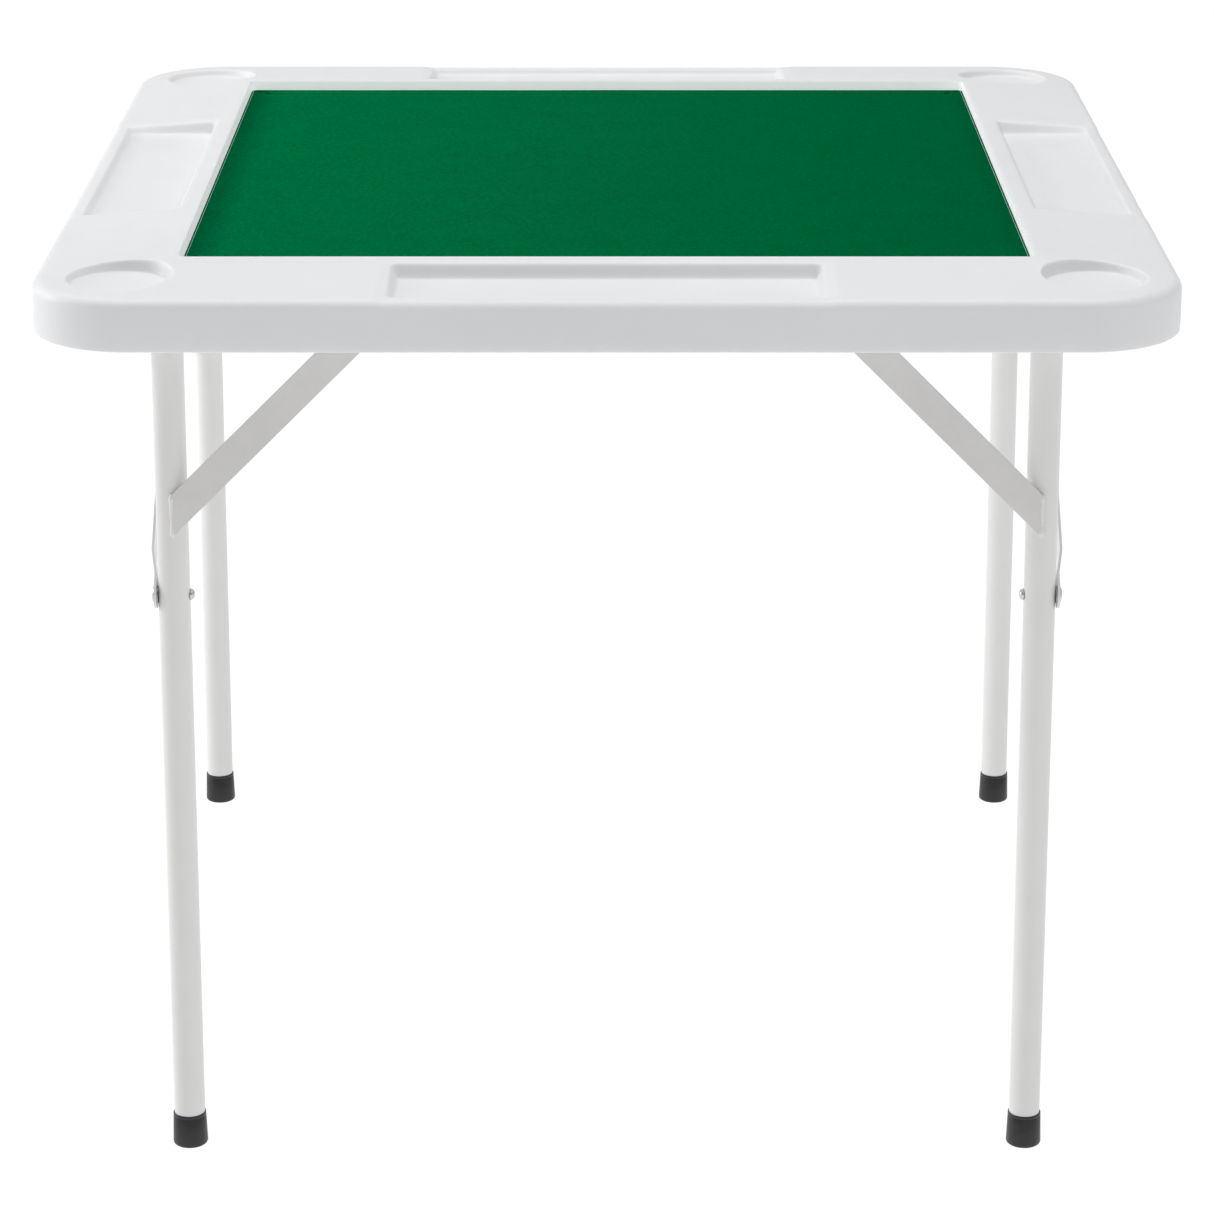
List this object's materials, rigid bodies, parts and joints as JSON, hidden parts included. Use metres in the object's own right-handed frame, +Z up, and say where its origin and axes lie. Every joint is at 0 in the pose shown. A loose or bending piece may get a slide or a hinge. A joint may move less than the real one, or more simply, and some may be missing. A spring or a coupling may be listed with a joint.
{
  "type": "folding card table",
  "caption": "Square folding card table with a recessed felt playing area, moulded cup holders and chip trays, and two fold-in steel leg frames.",
  "frame": {"origin": "on the floor below the centre of the top", "axes": "+X to the right of the front edge, +Y to the rear, +Z up"},
  "size_m": [0.88, 0.88, 0.738],
  "materials": {
    "white_hdpe": "satin, fine pebble grain",
    "green_felt": "short fuzzy pile",
    "white_steel": "satin powder coat",
    "nylon": "satin",
    "zinc_fastener": "bright zinc",
    "black_plastic": "satin",
    "black_rubber": "matte"
  },
  "bodies": {
    "tabletop": {"tabletop_shell": "white_hdpe", "playing_felt": "green_felt", "hinge_saddle_screws": "zinc_fastener", "strut_anchor_screws": "zinc_fastener", "strut_anchor_pins": "zinc_fastener", "front_left_hinge_saddle": "white_steel", "front_left_hinge_bushing": "nylon", "front_left_strut_anchor": "white_steel", "front_right_hinge_saddle": "white_steel", "front_right_hinge_bushing": "nylon", "front_right_strut_anchor": "white_steel", "rear_left_hinge_saddle": "white_steel", "rear_left_hinge_bushing": "nylon", "rear_left_strut_anchor": "white_steel", "rear_right_hinge_saddle": "white_steel", "rear_right_hinge_bushing": "nylon", "rear_right_strut_anchor": "white_steel"},
    "front_leg_frame": {"front_crossbar": "white_steel", "front_crossbar_end_plugs": "black_plastic", "front_left_leg_tube": "white_steel", "front_left_brace": "white_steel", "front_left_foot_cap": "black_rubber", "front_right_leg_tube": "white_steel", "front_right_brace": "white_steel", "front_right_foot_cap": "black_rubber", "front_leg_bolts": "zinc_fastener", "front_leg_nuts": "zinc_fastener", "front_leg_washers": "zinc_fastener"},
    "front_left_upper_link": {"front_left_upper_strap": "white_steel", "front_left_knuckle_rivet_outer": "zinc_fastener"},
    "front_left_lower_link": {"front_left_lower_strap": "white_steel", "front_left_knuckle_rivet_inner": "zinc_fastener"},
    "front_right_upper_link": {"front_right_upper_strap": "white_steel", "front_right_knuckle_rivet_outer": "zinc_fastener"},
    "front_right_lower_link": {"front_right_lower_strap": "white_steel", "front_right_knuckle_rivet_inner": "zinc_fastener"},
    "rear_leg_frame": {"rear_crossbar": "white_steel", "rear_crossbar_end_plugs": "black_plastic", "rear_left_leg_tube": "white_steel", "rear_left_brace": "white_steel", "rear_left_foot_cap": "black_rubber", "rear_right_leg_tube": "white_steel", "rear_right_brace": "white_steel", "rear_right_foot_cap": "black_rubber", "rear_leg_bolts": "zinc_fastener", "rear_leg_nuts": "zinc_fastener", "rear_leg_washers": "zinc_fastener"},
    "rear_left_upper_link": {"rear_left_upper_strap": "white_steel", "rear_left_knuckle_rivet_outer": "zinc_fastener"},
    "rear_left_lower_link": {"rear_left_lower_strap": "white_steel", "rear_left_knuckle_rivet_inner": "zinc_fastener"},
    "rear_right_upper_link": {"rear_right_upper_strap": "white_steel", "rear_right_knuckle_rivet_outer": "zinc_fastener"},
    "rear_right_lower_link": {"rear_right_lower_strap": "white_steel", "rear_right_knuckle_rivet_inner": "zinc_fastener"}
  },
  "joints": [
    {"name": "front_leg_fold", "type": "hinge", "parent": "tabletop", "child": "front_leg_frame", "pos_m": [0, -0.375, 0.704], "axis": [1, 0, 0], "range_deg": [0, 90]},
    {"name": "front_left_strut_pin", "type": "hinge", "parent": "tabletop", "child": "front_left_upper_link", "pos_m": [-0.3514, -0.123, 0.704], "axis": [1, 0, 0], "range_deg": [-43, 0]},
    {"name": "front_left_strut_bolt", "type": "hinge", "parent": "front_leg_frame", "child": "front_left_lower_link", "pos_m": [-0.3514, -0.375, 0.477], "axis": [1, 0, 0], "range_deg": [0, 49]},
    {"name": "front_right_strut_pin", "type": "hinge", "parent": "tabletop", "child": "front_right_upper_link", "pos_m": [0.3514, -0.123, 0.704], "axis": [1, 0, 0], "range_deg": [-43, 0]},
    {"name": "front_right_strut_bolt", "type": "hinge", "parent": "front_leg_frame", "child": "front_right_lower_link", "pos_m": [0.3514, -0.375, 0.477], "axis": [1, 0, 0], "range_deg": [0, 49]},
    {"name": "rear_leg_fold", "type": "hinge", "parent": "tabletop", "child": "rear_leg_frame", "pos_m": [0, 0.375, 0.7025], "axis": [-1, 0, 0], "range_deg": [0, 90]},
    {"name": "rear_left_strut_pin", "type": "hinge", "parent": "tabletop", "child": "rear_left_upper_link", "pos_m": [-0.3964, 0.123, 0.7025], "axis": [-1, 0, 0], "range_deg": [-43, 0]},
    {"name": "rear_left_strut_bolt", "type": "hinge", "parent": "rear_leg_frame", "child": "rear_left_lower_link", "pos_m": [-0.3964, 0.375, 0.4755], "axis": [-1, 0, 0], "range_deg": [0, 49]},
    {"name": "rear_right_strut_pin", "type": "hinge", "parent": "tabletop", "child": "rear_right_upper_link", "pos_m": [0.3964, 0.123, 0.7025], "axis": [-1, 0, 0], "range_deg": [-43, 0]},
    {"name": "rear_right_strut_bolt", "type": "hinge", "parent": "rear_leg_frame", "child": "rear_right_lower_link", "pos_m": [0.3964, 0.375, 0.4755], "axis": [-1, 0, 0], "range_deg": [0, 49]}
  ],
  "couplings": [
    {"joint": "front_left_strut_pin", "follows": "front_leg_fold", "ratio": -0.4668},
    {"joint": "front_left_strut_bolt", "follows": "front_leg_fold", "ratio": 0.5332},
    {"joint": "front_right_strut_pin", "follows": "front_leg_fold", "ratio": -0.4668},
    {"joint": "front_right_strut_bolt", "follows": "front_leg_fold", "ratio": 0.5332},
    {"joint": "rear_left_strut_pin", "follows": "rear_leg_fold", "ratio": -0.4668},
    {"joint": "rear_left_strut_bolt", "follows": "rear_leg_fold", "ratio": 0.5332},
    {"joint": "rear_right_strut_pin", "follows": "rear_leg_fold", "ratio": -0.4668},
    {"joint": "rear_right_strut_bolt", "follows": "rear_leg_fold", "ratio": 0.5332}
  ]
}
